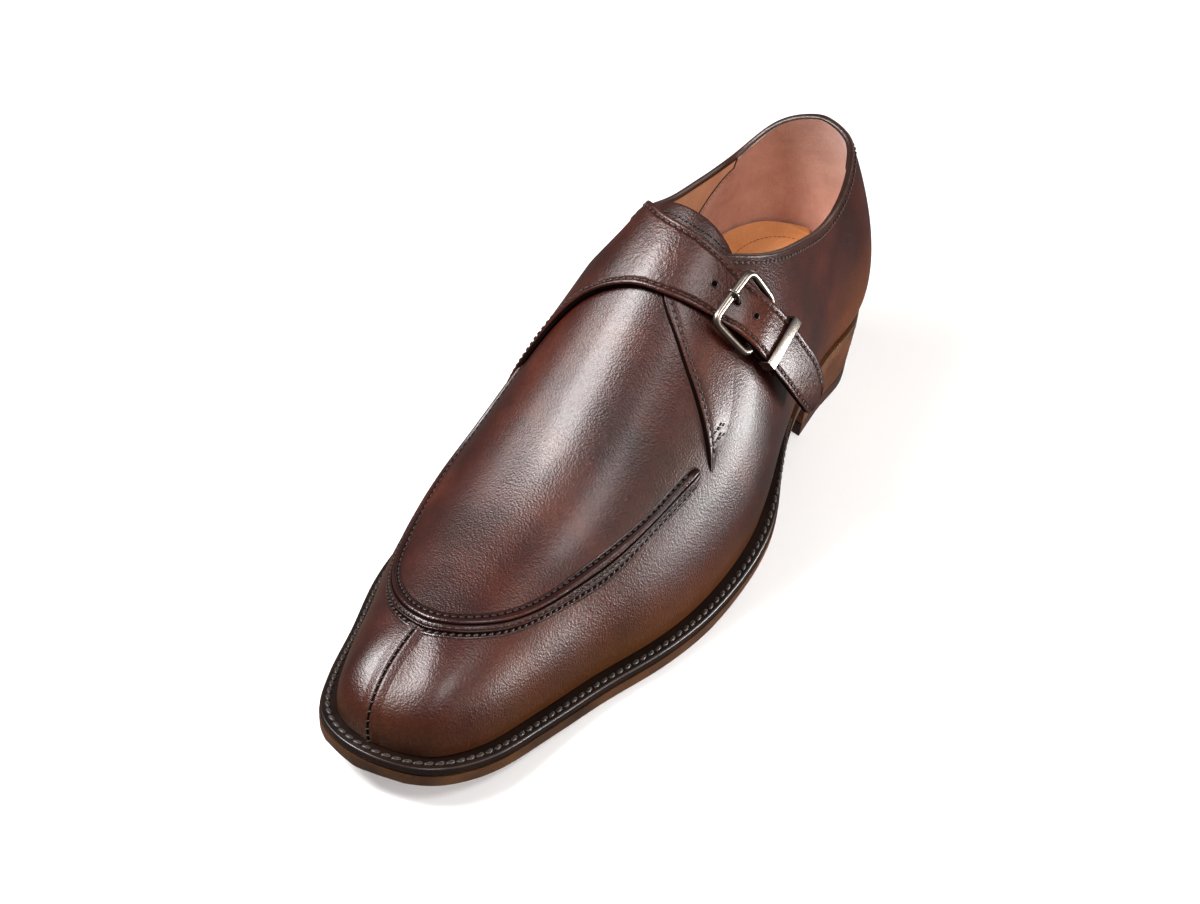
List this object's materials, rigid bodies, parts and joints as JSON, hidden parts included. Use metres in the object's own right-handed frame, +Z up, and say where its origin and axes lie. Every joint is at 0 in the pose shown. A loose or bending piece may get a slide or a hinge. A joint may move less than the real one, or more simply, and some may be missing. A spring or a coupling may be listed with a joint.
{
  "type": "monk strap shoe",
  "caption": "Left leather dress shoe with a moc-toe apron, a split toe seam, a buckled strap over the instep, a welted leather sole and a stacked heel.",
  "frame": {"origin": "on the floor, under the centre of the shoe's bounding box", "axes": "+Z up from the floor, the toe points to -Y, and the outer side with the buckle faces +X"},
  "size_m": [0.111, 0.3044, 0.1196],
  "materials": {
    "calf": "dark brown calf with a fine grain and a soft polish",
    "lining": "undyed tan lining leather, matte",
    "sole_leather": "burgundy stained sole leather, polished",
    "edge_leather": "dark inked and waxed leather edge",
    "heel_rubber": "black rubber with a fine tread",
    "steel": "polished"
  },
  "bodies": {
    "root": {"upper": "calf", "tongue": "calf", "insole": "lining", "outsole": "sole_leather", "welt": "edge_leather", "heel_stack": "edge_leather", "heel_top_leather": "sole_leather", "heel_top_rubber": "heel_rubber", "strap": "calf", "buckle_tab": "calf", "buckle_frame": "steel", "buckle_prong": "steel", "strap_keeper": "steel"}
  },
  "joints": []
}
